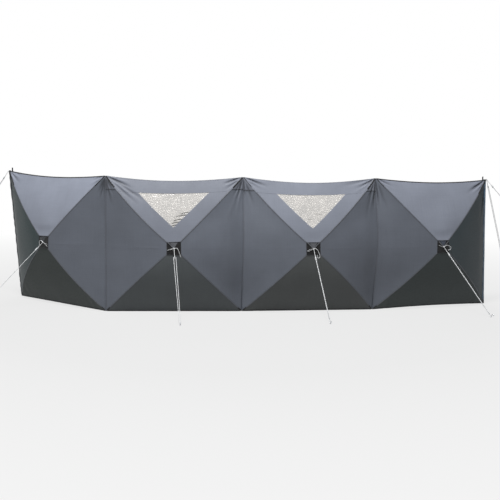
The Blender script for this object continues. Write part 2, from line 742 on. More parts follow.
def moulded_material(name, colour, rough):
    """Moulded plastic with a fine spark-eroded grain and slightly rubbed high spots."""
    s = Shader(name)
    place = s.place()
    cloudy = s.noise(place, 34, 3.0)
    point = s.node("ShaderNodeNewGeometry").outputs["Pointiness"]
    tint = s.mix(s.spread(cloudy), shaded(colour, 0.85), shaded(colour, 1.2))
    tint = s.mix(s.between(point, 0.52, 0.60, 0.0, 0.5), tint, shaded(colour, 2.6))
    grain = s.bump(s.noise(place, 900, 2.0), 0.18, 0.0003)
    s.set(Base_Color=tint, Roughness=s.spread(cloudy, rough - 0.06, rough + 0.06), Normal=grain)
    return s.material


def rod_material(name, colour):
    """Pultruded glass fibre: fine streaks along the rod under a thin resin skin."""
    s = Shader(name)
    place = s.place()
    streak = s.noise(s.stretched(place, (260, 260, 18)), 1.0, 3.0, 0.7)
    tint = s.mix(s.spread(streak), shaded(colour, 0.75), shaded(colour, 1.5))
    tint = s.mix(s.spread(s.noise(place, 14, 2.0), 0.0, 0.35), tint, shaded(colour, 0.8))
    rough = s.spread(streak, 0.26, 0.42)
    s.set(Base_Color=tint, Roughness=rough, Normal=s.bump(streak, 0.1, 0.0002), Coat_Weight=0.2)
    return s.material


def metal_material(name, colour, rough):
    """Plated or turned metal with fine scratches."""
    s = Shader(name)
    place = s.place()
    scratch = s.noise(s.stretched(place, (900, 900, 60)), 1.0, 3.0, 0.7)
    tint = s.mix(s.spread(s.noise(place, 120, 3.0)), shaded(colour, 0.86), shaded(colour, 1.06))
    rough = s.spread(scratch, rough - 0.08, rough + 0.10)
    s.set(Base_Color=tint, Metallic=1.0, Roughness=rough, Normal=s.bump(scratch, 0.15, 0.0002))
    return s.material


def cord_material(name, colour, fleck):
    """Braided cord: two sets of yarns wound opposite ways, with a darker fleck in one of them."""
    s = Shader(name)
    round_it, run, _ = s.weave()
    lay = s.math("MULTIPLY", run, 1 / 0.016)
    strands = s.math("MULTIPLY", round_it, 3.0)
    braid = s.math("MAXIMUM", *(s.wave(s.math(way, lay, strands), 1.0) for way in ("ADD", "SUBTRACT")))
    turns = s.math("ADD", s.math("MULTIPLY", run, 1 / 0.032), round_it)
    spun = s.math("LESS_THAN", s.math("FRACT", turns), 0.16)
    tint = s.mix(s.between(braid, 0.2, 1.0), shaded(colour, 0.95), colour)
    tint = s.mix(s.math("MULTIPLY", spun, 0.3), tint, fleck)
    s.set(Base_Color=tint, Roughness=0.7, Normal=s.bump(braid, 0.6, 0.0005), Sheen_Weight=0.2)
    return s.material


def film_material(name):
    """Clear flexible film: slightly hazy and warm, with creases that catch the light."""
    s = Shader(name)
    x, z, _ = s.weave()
    flat = s.node("ShaderNodeCombineXYZ", X=x, Y=z).outputs[0]
    swirl = s.node("ShaderNodeTexNoise", Vector=flat, Scale=7.0, Detail=2.0).outputs["Color"]
    small = s.node("ShaderNodeVectorMath", {"operation": "SCALE"}, swirl, Scale=0.09).outputs[0]
    bent = s.node("ShaderNodeVectorMath", {"operation": "ADD"}, flat, small).outputs[0]
    crinkle = s.noise(s.stretched(bent, (30, 42, 1)), 1.0, 5.0, 0.68)
    line = s.between(s.math("ABSOLUTE", s.math("SUBTRACT", crinkle, 0.5)), 0.0, 0.022, 1.0, 0.0)
    tint = s.mix(s.spread(s.noise(flat, 9, 3.0)), linear(220, 218, 215), linear(236, 233, 229))
    tint = s.mix(s.math("MULTIPLY", line, 0.26), tint, linear(150, 146, 143))
    tint = s.mix(s.math("MULTIPLY", s.attribute("pinch", "Fac"), 0.92), tint, linear(52, 50, 49))
    creased = s.bump(crinkle, 0.5, 0.005)
    s.set(Base_Color=tint, Roughness=0.16, Normal=creased, Transmission_Weight=0.62, IOR=1.4)
    return s.material


CLOTH_LIGHT = [
    cloth_material(f"cloth_light_{i + 1}", shaded(linear(142, 147, 160), share), 0.58)
    for i, share in enumerate((1.18, 0.80, 0.95, 1.01))
]
FOLD_CLOTH = {
    k: cloth_material(f"cloth_mid_{k}", shaded(linear(107, 112, 122), share), 0.56)
    for k, share in ((1, 0.95), (2, 1.03), (3, 0.93))
}
CLOTH_END = {
    0: cloth_material("cloth_end_left", linear(35, 55, 57), 0.56),
    3: cloth_material("cloth_end_right", linear(55, 65, 69), 0.56),
}
CLOTH_DARK = [
    cloth_material(f"cloth_dark_{i + 1}", linear(*colour), 0.58)
    for i, colour in enumerate(((31, 42, 40), (88, 93, 95), (83, 86, 86), (46, 54, 54)))
]
CLOTH_DOUBLE = cloth_material("cloth_double", linear(116, 120, 130), 0.52)
SLEEVE_CLOTH = {
    0: cloth_material("sleeve_cloth_left", linear(58, 63, 68), 0.36),
    3: cloth_material("sleeve_cloth_right", linear(98, 122, 144), 0.30),
}
SEAM_CLOTH = cloth_material("seam_cloth", linear(92, 95, 101), 0.5)
SEAM_DARK = cloth_material("seam_dark", linear(58, 60, 65), 0.5)
FOLD_PIPING = cloth_material("fold_piping", linear(94, 97, 105), 0.5)
BINDING = webbing_material("binding", linear(58, 61, 66))
WEBBING = webbing_material("webbing", linear(42, 43, 46))
STRAP_GREY = webbing_material("strap_grey", linear(132, 135, 141))
PATCH_BLACK = webbing_material("patch_black", linear(8, 9, 11), 0.0011)
PATCH_GREY = [
    webbing_material(f"patch_grey_{i + 1}", linear(*colour), 0.0011)
    for i, colour in enumerate(((70, 72, 78), (116, 118, 124), (116, 118, 124), (84, 92, 108)))
]
HUB_PLASTIC = moulded_material("hub_plastic", linear(44, 45, 48), 0.48)
CAP_PLASTIC = moulded_material("cap_plastic", linear(40, 41, 44), 0.38)
RUNNER_PLASTIC = moulded_material("runner_plastic", linear(226, 228, 230), 0.36)
POLE_FIBRE = rod_material("pole_fibre", linear(52, 54, 57))
FERRULE = metal_material("ferrule", linear(186, 188, 192), 0.30)
PEG_STEEL = metal_material("peg_steel", linear(202, 204, 208), 0.34)
CORD_WHITE = cord_material("cord_white", linear(247, 248, 249), linear(165, 169, 180))
FILM = film_material("window_film")


# ---- Camera ----

CAMERA_AT = (-0.833, -8.777, 1.680)
CAMERA_HEADING, CAMERA_PITCH, CAMERA_ROLL = 5.938, -6.692, 0.741
CAMERA_LENS = 61.5


def make_camera():
    heading, pitch, roll = (math.radians(a) for a in (CAMERA_HEADING, CAMERA_PITCH, CAMERA_ROLL))
    forward = Vector(
        (math.sin(heading) * math.cos(pitch), math.cos(heading) * math.cos(pitch), math.sin(pitch))
    )
    level_right = Vector((math.cos(heading), -math.sin(heading), 0))
    right = math.cos(roll) * level_right + math.sin(roll) * level_right.cross(forward)
    data = bpy.data.cameras.new("camera")
    data.lens = CAMERA_LENS
    data.sensor_width = 36
    camera = linked("camera", data)
    turn = Matrix((right, right.cross(forward), -forward)).transposed()
    camera.matrix_world = Matrix.Translation(CAMERA_AT) @ turn.to_4x4()
    bpy.context.scene.camera = camera


make_camera()

# ---- Guy tails, the free cords ----


def guy_anchor(i):
    return HUB[i] + GUY_LIFT * FRONT[i]


def make_tail(i):
    """The loose end of bay i's guy, with the corners of its route rounded."""
    route = np.array([guy_anchor(i) + (RUN[i] * a + FRONT[i] * b + UP * c) / 1000 for a, b, c in TAIL[i]])
    fine = np.linspace(0, len(route) - 1, 3 * len(route) - 2)
    path = np.stack([np.interp(fine, np.arange(len(route)), route[:, k]) for k in range(3)], 1)
    path[1:-1] = (path[:-2] + 2 * path[1:-1] + path[2:]) / 4
    build = Build().add(*tube(path, LINE_R, 10, FRONT[i]))
    tail = build.put(i, f"guy_tail_cord_{i + 1}", [CORD_WHITE], "guy_cord", f"guy_tail_{i + 1}")


for bay in BAYS:
    make_tail(bay)

# ---- Cloth ----

EDGE_STEPS = np.array([0.0, 3, 6, 9, 13, 18]) / 1000
COARSE_STEP, FINE_STEP = 0.0175, 0.0065
FINE_REACH = 0.20


def row_shares(i, g, start, stop=1.0):
    """Shares from hub to edge for the rows of a panel, closer together towards its outer edge."""
    reach = edge_reach(i, g)
    last = min(stop, 1 - EDGE_STEPS[-1] / reach)
    fine_from = 1 - (EDGE_STEPS[-1] if g == BOTTOM else FINE_REACH) / reach
    turn = min(max(fine_from, start), last)
    coarse = np.linspace(start, turn, max(1, round((turn - start) * reach / COARSE_STEP)) + 1)
    fine = np.linspace(turn, last, max(1, round((last - turn) * reach / FINE_STEP)) + 1)
    rows = np.concatenate([coarse[:-1], fine]) if turn > start else fine
    if turn >= last:
        rows = coarse
    return rows if stop < 1.0 else np.concatenate([rows, 1 - EDGE_STEPS[-2::-1] / reach])


def side_shares(g):
    """Shares from seam to seam, with fine steps near a panel's upper corners."""
    fine = np.linspace(0, 0.2, 45)
    coarse = np.append(fine[::3], 0.2)
    start = fine if g in (TOP, RIGHT) else np.unique(coarse)
    end = fine if g in (TOP, LEFT) else np.unique(coarse)
    return np.concatenate([start, np.linspace(0.2, 0.8, 45)[1:-1], 1 - end[::-1]])


def on_cloth(i, x, z, edge, *pinch):
    """The weave of cloth or film at x, z of bay i's plane, each bay on another stretch of it."""
    return stacked(x.shape, x + 1.9 * i, z, edge, *pinch)


def pinched(i, g, x, z):
    """How far down in a crease the cloth is, from 0 to 1."""
    return np.clip(-corner_creases(i, g, x, z) / 10, 0, 1)


def weave_at(i, g, r, s, points):
    """The weave of panel g: place in its plane, distance to the nearest edge, depth of creases."""
    x, z = plane_xz(i, points)
    seam_way = np.minimum(s, 1 - s) * panel_width(i, g, r) * SLANT
    edge_way = (1 - r) * edge_reach(i, g)
    pinch = 0.0 if g == BOTTOM else pinched(i, g, x, z) * smooth(seam_way / 0.012)
    return on_cloth(i, x, z, np.minimum(seam_way, edge_way), pinch)


SLOT_OF = {TOP: "cloth_light", RIGHT: "cloth_mid", BOTTOM: "cloth_dark", LEFT: "cloth_mid"}
# Share of the way from hub to edge at which a panel begins
HUB_HOLE = 0.03
HEM_OVERLAP = 0.016
BAND_LIFT = 0.0014


def sheet_shell(i, g, parts, lift=0.0):
    """A closed shell from grids of (r, s) shares that meet at common edges."""
    points, faces, weave = [], [], []
    offset = 0
    for r, s in parts:
        grid = cloth_point(i, g, r, s, lift)
        points.append(grid.reshape(-1, 3))
        weave.append(weave_at(i, g, r, s, grid).reshape(-1, 4))
        faces.append(grid_faces(*r.shape, offset))
        offset += r.size
    points, faces, weave = welded(*(np.concatenate(part) for part in (points, faces, weave)))
    return *thickened(points, faces, CLOTH_T, FRONT[i]), np.concatenate([weave, weave])


def cloth_sheet(i, g, layers, material):
    """The cloth of a panel: layers of shells sewn into one stretched sheet."""
    build = Build()
    for parts, lift in layers:
        build.add(*sheet_shell(i, g, parts, lift))
    piece = build.put(i, f"cloth_{SIDES[g]}_{i + 1}", [material], SLOT_OF[g], f"panel_{SIDES[g]}_{i + 1}")


def panel_grid(i, g, start=HUB_HOLE):
    return tuple(np.meshgrid(row_shares(i, g, start), side_shares(g), indexing="ij"))


def whole_panel(i, g):
    material = CLOTH_END[i] if g in (LEFT, RIGHT) else (CLOTH_LIGHT if g == TOP else CLOTH_DARK)[i]
    cloth_sheet(i, g, [([panel_grid(i, g)], 0.0)], material)


def beside_window(r):
    share = (r - WINDOW_FOOT) / (WINDOW_HEAD - WINDOW_FOOT)
    return WINDOW_SIDE_FOOT + (WINDOW_SIDE_HEAD - WINDOW_SIDE_FOOT) * share


def window_panel(i):
    """The cloth round a window: a tip towards the hub, two borders and a head band over them."""
    columns = 40
    tip_rows = row_shares(i, TOP, HUB_HOLE, WINDOW_FOOT)
    tip = np.meshgrid(tip_rows, np.linspace(0, 1, 2 * columns + 1), indexing="ij")
    rows = row_shares(i, TOP, WINDOW_FOOT, WINDOW_HEAD)
    border = np.minimum(beside_window(rows) / panel_width(i, TOP, rows), 0.5)[:, None]
    border[0] = 0.5
    r = np.repeat(rows[:, None], columns + 1, axis=1)
    left = r, border * np.linspace(0, 1, columns + 1)
    right = r, 1 - border * np.linspace(1, 0, columns + 1)
    band = panel_grid(i, TOP, WINDOW_HEAD - HEM_OVERLAP / edge_reach(i, TOP))
    layers = [([tip, left, right], 0.0), ([band], BAND_LIFT)]
    cloth_sheet(i, TOP, layers, CLOTH_LIGHT[i])


for bay in BAYS:
    for side in range(4):
        if side == TOP and bay in WINDOW_BAYS:
            window_panel(bay)
        elif not meets_fold(bay, side):
            whole_panel(bay, side)

# ---- Windows ----

FILM_T = 0.0005
FILM_TUCK = 0.012
# Soft curved swells of each window's film: middle x, middle z, radius, from and to degrees, height
FILM_ARCS = {
    1: [(-0.050, 1.120, 0.110, 20, 110, -2.0), (-0.100, 1.020, 0.140, 60, 130, -1.8)],
    2: [(-0.020, 1.220, 0.120, -130, -60, 1.6), (0.080, 1.240, 0.140, -140, -80, 1.4)],
}
# Hard creases: from x, z to x, z
FILM_LINES = {
    1: [
        (0.012, 0.993, 0.150, 1.014), (-0.014, 0.953, 0.112, 0.975), (-0.034, 0.926, 0.072, 0.943),
        (-0.034, 0.902, 0.046, 0.912), (0.060, 1.022, 0.170, 1.036),
    ],
    2: [(-0.060, 0.975, 0.010, 0.966), (0.020, 1.030, 0.100, 1.022)],
}
# Depth of each window's hard creases, in millimetres
FILM_LINE_DEPTH = {1: 2.0, 2: 0.8}


def film_lines(i, x, z):
    """How deep a point of the film lies in one of its hard creases, from 0 to 1."""
    total = np.zeros_like(x)
    for from_x, from_z, to_x, to_z in FILM_LINES[i]:
        length = math.hypot(to_x - from_x, to_z - from_z)
        way_x, way_z = (to_x - from_x) / length, (to_z - from_z) / length
        a = (x - from_x) * way_x + (z - from_z) * way_z
        share = np.clip(a / length, 0, 1)
        b = (z - from_z) * way_x - (x - from_x) * way_z - 0.030 * share * (1 - share)
        total += smooth(a / 0.018) * smooth((length - a) / 0.016) * np.exp(-((b / 0.0050) ** 2))
    return np.clip(total, 0, 1)


def film_relief(i, x, z):
    """Crinkles of clear film that has been rolled up and let down again, in metres."""
    total = 0.7 * np.sin(58 * x + 21 * z + 4 * np.sin(13 * z + i)) * np.sin(17 * x - 63 * z + i)
    total += 0.5 * np.sin(131 * x - 47 * z + 3 * np.sin(31 * x)) * np.sin(29 * x + 112 * z)
    total += 0.30 * np.sin(150 * z + 120 * x + 5 * np.sin(19 * x - 23 * z + 2 * i))
    for mid_x, mid_z, radius, start, stop, height in FILM_ARCS[i]:
        dx, dz = x - mid_x, z - mid_z
        angle = np.degrees(np.arctan2(dz, dx))
        here = smooth((angle - start) / 14) * smooth((stop - angle) / 14)
        total += height * here * np.exp(-(((np.hypot(dx, dz) - radius) / 0.0065) ** 2))
    return (total - FILM_LINE_DEPTH[i] * film_lines(i, x, z)) / 1000


def window_film(i):
    """Film tucked behind the cloth round the window, and kept from bulging through it."""
    reach = edge_reach(i, TOP)
    rows = np.linspace(WINDOW_FOOT - 0.012, WINDOW_HEAD + FILM_TUCK / reach, 110)[:, None]
    width = panel_width(i, TOP, rows)
    inset = np.minimum((beside_window(rows) - FILM_TUCK) / width, 0.497)
    t = np.linspace(0, 1, 121)
    grid = cloth_point(i, TOP, rows, inset + (1 - 2 * inset) * t, -CLOTH_T - 0.0006)
    x, z = plane_xz(i, grid)
    inside = smooth(np.minimum(t, 1 - t) * width / 0.05) * smooth((rows - WINDOW_FOOT) / 0.05)
    away = np.minimum(film_relief(i, x, z) - 0.0008, 0.0025) * inside
    grid = grid + away[..., None] * FRONT[i]
    shut = film_lines(i, x, z) * FILM_LINE_DEPTH[i] / max(FILM_LINE_DEPTH.values())
    build = Build().add(*shell_of(i, grid, FILM_T, on_cloth(i, x, z, 0.0, shut)))
    piece = build.put(i, f"window_film_{i + 1}", [FILM], "window_film", f"window_{i + 1}", sharp=60)


for bay in WINDOW_BAYS:
    window_film(bay)

# ---- Seams, bindings and reinforcements ----

SEAM_HALF, HEM_HALF = 0.0048, 0.0026
# Width of the binding along the top and along the other edges, and its thickness
BIND_W, BIND_SIDE_W, BIND_T = 0.011, 0.013, 0.0011


def seam_strip(i, c, start, stop, half, lift, rows=70):
    """A strip laid over seam c, half on each of the panels that meet there."""
    r = np.linspace(start, stop, rows)
    before = (c - 1) % 4
    columns = []
    for g, k in ((before, 1.0), (before, 0.75), (c, 0.0), (c, 0.75), (c, 1.0)):
        s = k * half / (SLANT * panel_width(i, g, r))
        high = {0.0: 1.25, 0.75: 1.0, 1.0: 0.2}[k] * lift
        columns.append(cloth_point(i, g, r, 1 - s if g == before else s, high))
    return np.stack(columns, 1)


def add_strip(build, i, grid, thickness, index=0):
    """Adds a strip whose weave runs across it and along its first edge."""
    wide = np.linalg.norm(grid - grid[:, :1], axis=-1)
    weave = stacked(wide.shape, wide, run_along(grid[:, 0])[:, None], 0.1)
    build.add(*shell_of(i, grid, thickness, weave), index)


WEB_T = 0.0016
# Length and half width of the webbing at each top corner
CORNER_WEB = {
    (0, TL): (0.21, 0.0095), (0, TR): (0.150, 0.0050), (1, TL): (0.150, 0.0075), (1, TR): (0.155, 0.0085),
    (2, TL): (0.130, 0.0034), (2, TR): (0.155, 0.0085), (3, TL): (0.120, 0.0042), (3, TR): (0.21, 0.0095),
}


def corner_webbing(i, c):
    """Black webbing over the end of a seam, longest at a free end's top."""
    if not is_top(c):
        return seam_strip(i, c, 1 - 0.06 / seam_chord(i, c), 0.995, 0.0070, 0.0020, 10)
    long, half = CORNER_WEB[(i, c)]
    return seam_strip(i, c, 1 - long / seam_chord(i, c), 0.998, half, 0.0024, 24)


def patch_share(i, c):
    """Share of seam c that the hub's patch covers."""
    return PATCH_HALF * math.sqrt(2) / seam_chord(i, c)


def make_seams(i):
    """Felled seams over the poles, which stop short of a fold, and webbing over a free end's corners."""
    seams = Build()
    webs = Build()
    for c in range(4):
        end = 0.992 if is_free(i, c) else 0.985
        add_strip(seams, i, seam_strip(i, c, patch_share(i, c) - 0.01, end, SEAM_HALF, 0.0009), 0.0008)
        if is_free(i, c):
            add_strip(webs, i, corner_webbing(i, c), WEB_T)
    seams.put(i, f"seams_{i + 1}", [SEAM_CLOTH], "cloth_mid")
    if i in END_BAYS:
        webs.put(i, f"corner_webbing_{i + 1}", [WEBBING], "webbing_black")


def bound_edge(build, i, g, wide):
    """Binding tape folded over the outer edge of panel g."""
    s = np.linspace(0.002, 0.998, 150)
    inner = 1 - wide / edge_reach(i, g)

    def line(r, lift):
        return cloth_point(i, g, np.full_like(s, r), s, lift)

    edge = line(1.0, -CLOTH_T / 2)
    beyond = edge + 0.0012 * unit_rows(edge - line(inner, -CLOTH_T / 2))
    beyond[:, 2] = np.maximum(beyond[:, 2], 0.0)
    section = [(inner, 1.0), (0.5 + inner / 2, 1.25), (1.0, 0.8)]
    front = [line(r, k * BIND_T) for r, k in section]
    back = [line(r, -CLOTH_T - k * BIND_T) for r, k in section[::-1]]
    ring = np.stack([*front, beyond, *back], 1)
    weave = stacked(ring.shape[:2], np.arange(ring.shape[1]) * 0.003, (s * 1.4)[:, None], 0.1)
    build.add(*skin(ring), weave)


def make_binding(i):
    build = Build()
    bound_edge(build, i, TOP, BIND_W)
    bound_edge(build, i, BOTTOM, BIND_SIDE_W)
    if i in END_BAYS:
        bound_edge(build, i, END_BAYS[i], BIND_SIDE_W)
    build.put(i, f"binding_{i + 1}", [BINDING], "webbing_black")


def fold_corner(i, g, r):
    """Level of the window's head, and the heights of side panel g's seams at share r."""
    c, foot = (TL, BL) if g == LEFT else (TR, BR)
    return float(seam(i, c, WINDOW_HEAD)[2]), float(seam(i, c, r)[2]), float(seam(i, foot, r)[2])


def reinforced_corner(i, g):
    """The triangle of doubled cloth at a fold's top, down to the level of the window's head."""
    t = np.linspace(0, 1, 22)
    grid = []
    for r in np.linspace(WINDOW_HEAD + 0.004, 0.9985, 34):
        low, z_top, z_foot = fold_corner(i, g, r)
        deep = min(max((z_top - low) / (z_top - z_foot), 0.0005), 0.5)
        s = t * deep + 0.0015 * (1 - t)
        grid.append(cloth_point(i, g, np.full_like(s, r), 1 - s if g == LEFT else s, 0.0010))
    grid = np.array(grid)
    x, z = plane_xz(i, grid)
    return shell_of(i, grid, 0.0008, on_cloth(i, x, z, np.abs(z - low), pinched(i, g, x, z)))


def corner_hem(i, g):
    """The stitched hem along the lower edge of a doubled corner, from the seam to the fold."""
    rows = []
    for r in np.linspace(WINDOW_HEAD + 0.010, 0.9985, 34):
        low, z_top, z_foot = fold_corner(i, g, r)
        s = (z_top - low + HEM_HALF * np.array([-1.2, -1, 1, 1.2])) / (z_top - z_foot)
        s = np.maximum(s, 0.0006)
        lifts = np.array([0.0012, 0.0022, 0.0022, 0.0004])
        rows.append(cloth_point(i, g, np.full(4, r), 1 - s if g == LEFT else s, lifts))
    return np.array(rows)


def blend_over_fold(piece):
    """Bends a piece over fold k, between the two bays it joins."""
    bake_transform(piece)


def make_fold_cloth(k):
    """The two panels sewn together at fold k, with their doubled corners and webbing."""
    build = Build()
    for i, g, corners in ((k - 1, RIGHT, (TR, BR)), (k, LEFT, (TL, BL))):
        build.add(*sheet_shell(i, g, [panel_grid(i, g)]))
        if i in WINDOW_BAYS:
            build.add(*reinforced_corner(i, g), 1)
            add_strip(build, i, corner_hem(i, g), 0.0009, 3)
        for c in corners:
            add_strip(build, i, corner_webbing(i, c), WEB_T, 2)
    piece = build.done(f"cloth_fold_{k}", [FOLD_CLOTH[k], CLOTH_DOUBLE, WEBBING, SEAM_DARK])
    blend_over_fold(piece)
    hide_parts(f"panel_right_{k}", f"panel_left_{k + 1}")


END_BAND_W = 0.046


def end_band(i, g):
    """The crinkled sleeve sewn along a free end."""
    t = np.linspace(0, 1, 20)
    s = np.linspace(0.012, 0.988, 190)
    grid = []
    for k in t:
        r = np.full_like(s, 1 - (1 - k) * END_BAND_W / edge_reach(i, g))
        held = math.sin(math.pi * k) ** 0.6 if 0 < k < 1 else 0.0
        wave = 1.5 + np.sin(30 * s + 5.2 * np.sin(7 * s) + 9 * k)
        wave = wave + 0.8 * np.sin(71 * s - 13 * k + 3 * np.sin(11 * s))
        rib = 1.2 * math.sin(17 * k) * np.sin(4.1 * s + 2 * k + 0.6)
        grid.append(cloth_point(i, g, r, s, 0.0012 + 0.0024 * held * np.maximum(wave + rib, 0)))
    grid = np.array(grid)
    weave = on_cloth(i, *plane_xz(i, grid), (t * END_BAND_W)[:, None])
    build = Build().add(*shell_of(i, grid, 0.0009, weave))
    piece = build.put(i, f"end_sleeve_{i + 1}", [SLEEVE_CLOTH[i]], "cloth_mid")


for bay in BAYS:
    make_seams(bay)
    make_binding(bay)
for fold in (1, 2, 3):
    make_fold_cloth(fold)
for bay, side in END_BAYS.items():
    end_band(bay, side)

# ---- Fold seams, which turn with the two bays they join ----

FOLD_FLAP = 0.012
PIPING_R = 0.0015


def make_fold_seam(k):
    """Piping on a fold's axis in front, and a binding tape over both bays' hems behind."""
    heights = np.linspace(0.0, 1.0, 120)
    forward = fold_front(k)
    bowed = (FOLD_BOW[k] * bow_shape(heights))[:, None] * forward
    axis = FOOT[k] + heights[:, None] * fold_h * UP + bowed + (CLOTH_T + CLOTH_SET) * forward
    flaps = []
    for i, g in ((k - 1, RIGHT), (k, LEFT)):
        s = 1 - heights if g == RIGHT else heights
        r = np.full_like(s, 1 - FOLD_FLAP / edge_reach(i, g))
        flaps.append(cloth_point(i, g, r, s, -CLOTH_T - 0.0012))
    sideways = 0.8 * unit(RUN[k] - (RUN[k] @ forward) * forward)
    left, right = (axis + (0.6 * forward + hand * sideways) * PIPING_R for hand in (-1, 1))
    back = axis - 0.0030 * forward
    thin = 0.0011 * forward
    ring = [axis + PIPING_R * forward, left, flaps[0], flaps[0] - thin, back - thin]
    ring = np.stack([*ring, flaps[1] - thin, flaps[1], right], 1)
    ring[..., 2] = np.clip(ring[..., 2], 0.0, fold_h)
    weave = stacked(ring.shape[:2], np.arange(ring.shape[1]) * 0.003, (heights * fold_h)[:, None], 0.1)
    piece = Build().add(*skin(ring), weave).done(f"fold_seam_{k}", [FOLD_PIPING])
    blend_over_fold(piece)
    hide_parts(f"fold_tape_{k}")


for fold in (1, 2, 3):
    make_fold_seam(fold)

# ---- Hub patches ----

PATCH_LIFT = 0.0022


def patch_point(i, g, t, s, lift):
    """A point of the patch over panel g, where t runs from the hub to the patch's edge."""
    t, s = np.broadcast_arrays(np.asarray(t, float), np.asarray(s, float))
    a = seam(i, g, t * patch_share(i, g))
    b = seam(i, (g + 1) % 4, t * patch_share(i, (g + 1) % 4))
    return a + s[..., None] * (b - a) + (CLOTH_SET + CLOTH_T + lift)[..., None] * FRONT[i]


def make_patch(i):
    """The pleated black square that spreads the pull of a hub over the cloth."""
    build = Build()
    t = np.linspace(0.03, 1, 26)[:, None]
    # The top's middle is a lighter wedge of cloth, between the black sides
    parts = [(g, 0, 1, 0) for g in (RIGHT, BOTTOM, LEFT)]
    parts += [(TOP, 0, 0.2, 0), (TOP, 0.2, 0.8, 1), (TOP, 0.8, 1, 0)]
    for g, start, end, material in parts:
        s = np.linspace(start, end, max(8, round(31 * (end - start))))[None, :]
        pleat = np.sin(2 * math.pi * (4.5 * s + 0.2 * g + 0.3 * i)) * np.sin(math.pi * s) ** 0.5
        fold = 0.0021 * pleat * t**1.3 * (1 - 0.45 * t)
        lift = PATCH_LIFT + fold + 0.0012 * np.sin(5 * t + 7 * s + i) * np.sin(math.pi * s) * t
        grid = patch_point(i, g, t, s, np.maximum(lift, 0.0008))
        x, z = plane_xz(i, grid)
        build.add(*shell_of(i, grid, 0.0010, stacked(x.shape, x, z, 0.1)), material)
    hem = Build()
    line = np.linspace(0, 1, 24)
    profile = ((0.93, 0.0030), (0.95, 0.0042), (1.01, 0.0042), (1.03, 0.0018))
    for g in range(4):
        rows = [patch_point(i, g, np.full_like(line, e), line, np.full_like(line, up)) for e, up in profile]
        add_strip(hem, i, np.stack(rows, 1), 0.0010)
    materials = [PATCH_BLACK, PATCH_GREY[i]]
    build.put(i, f"hub_patch_cloth_{i + 1}", materials, "webbing_black", f"hub_patch_{i + 1}")
    hem.put(i, f"hub_patch_hem_{i + 1}", [WEBBING], "webbing_black")


# Straps and cords over each patch, from its edge to the knot, as [right, up] in millimetres
PATCH_STRAPS = [[(-62, 60)], [(-62, 62)], [(-62, 62), (62, 62)], [(-58, 58), (60, 58)]]
PATCH_CORDS = [
    [(64, -18), (62, -42)],
    [(-66, -14), (-66, -22)],
    [(-66, -30), (-64, -22)],
    [(-60, 20)],
]


def patch_surface(a, b):
    """How far the cloth lies in front of the hub at [right, up] from it, in metres."""
    slope = (HUB_OUT - 4 * (BOW_UPPER if b > 0 else BOW_LOWER)) / (bay_w / 2)
    return -max(abs(a), abs(b)) / 1000 * max(slope, 0.1)


def over_patch(i, a, b, lift):
    return guy_anchor(i) + (RUN[i] * a + UP * b) / 1000 + (patch_surface(a, b) + lift) * FRONT[i]


def make_bridle(i):
    """Straps and thin cords over the patch, and the guy's knot, a trefoil."""
    straps = Build()
    for a, b in PATCH_STRAPS[i]:
        steps = np.linspace(0.08, 1.0, 12)
        path = [over_patch(i, a * k, b * k, 0.0016 + 0.001 * math.sin(3.1 * k)) for k in steps]
        straps.add(*strap(path, FRONT[i], 0.0085, 0.0013))
    straps.put(i, f"patch_straps_{i + 1}", [STRAP_GREY], "webbing_black")
    cords = Build()
    for n, (a, b) in enumerate(PATCH_CORDS[i]):
        bend = 5 if n % 2 else -4
        path = [
            over_patch(i, a * k, b * k + bend * math.sin(math.pi * k), 0.0042 - 0.001 * k)
            for k in np.linspace(0.04, 1.0, 16)
        ]
        cords.add(*tube(path, 0.0015, 8, FRONT[i]))
    a = np.append(np.linspace(0, 2 * math.pi, 73)[:-1], 0.0)[:, None]
    wide = 0.0052 + 0.0022 * np.cos(3 * a)
    knot = wide * (np.cos(2 * a) * RUN[i] + np.sin(2 * a) * UP) + (0.0022 * np.sin(3 * a) + 0.004) * FRONT[i]
    cords.add(*tube(guy_anchor(i) + knot, LINE_R, 8, FRONT[i]))
    cords.put(i, f"bridle_{i + 1}", [CORD_WHITE], "guy_cord")


for bay in BAYS:
    make_patch(bay)
    make_bridle(bay)

# ---- Hubs, poles and pockets, behind the cloth ----


def pole_path(i, c, at):
    """Points on the middle of pole c at distances from the hub."""
    return seam(i, c, np.asarray(at) / seam_chord(i, c)) - POLE_SET * FRONT[i]


def pole_end(i, c):
    return seam_chord(i, c) - (POLE_SHORT_TOP if is_top(c) else POLE_SHORT_FOOT)


# Turned shapes, as (distance along the axis, radius)
HUB_PROFILE = [
    (-0.0040, 0.0050), (-0.0040, 0.0085), (-0.0030, 0.0098), (0.0, 0.0105), (0.0, 0.0185),
    (0.0014, 0.0198), (0.0014, 0.0222), (0.0, 0.0235), (0.0, 0.0268), (0.0012, 0.0290),
    (0.0040, 0.0300), (0.0090, 0.0300), (0.0096, 0.0291), (0.0124, 0.0291), (0.0130, 0.0300),
    (0.0190, 0.0300), (0.0212, 0.0290), (0.0220, 0.0272), (0.0220, 0.0090),
]
SOCKET_PROFILE = [
    (0.014, 0.0098), (0.026, 0.0096), (0.034, 0.0084), (0.060, 0.0082), (0.0662, 0.0082),
    (0.0668, 0.0094), (0.0760, 0.0094), (0.0780, 0.0084),
]
BOLT_PROFILE = [
    (-0.0062, 0.0030), (-0.0062, 0.0052), (-0.0052, 0.0058), (-0.0036, 0.0058), (-0.0036, 0.0072),
    (-0.0030, 0.0072),
]
PIN_PROFILE = [
    (-0.0128, 0.0012), (-0.0128, 0.0024), (-0.0120, 0.0028), (0.0120, 0.0028), (0.0128, 0.0024),
    (0.0128, 0.0012),
]


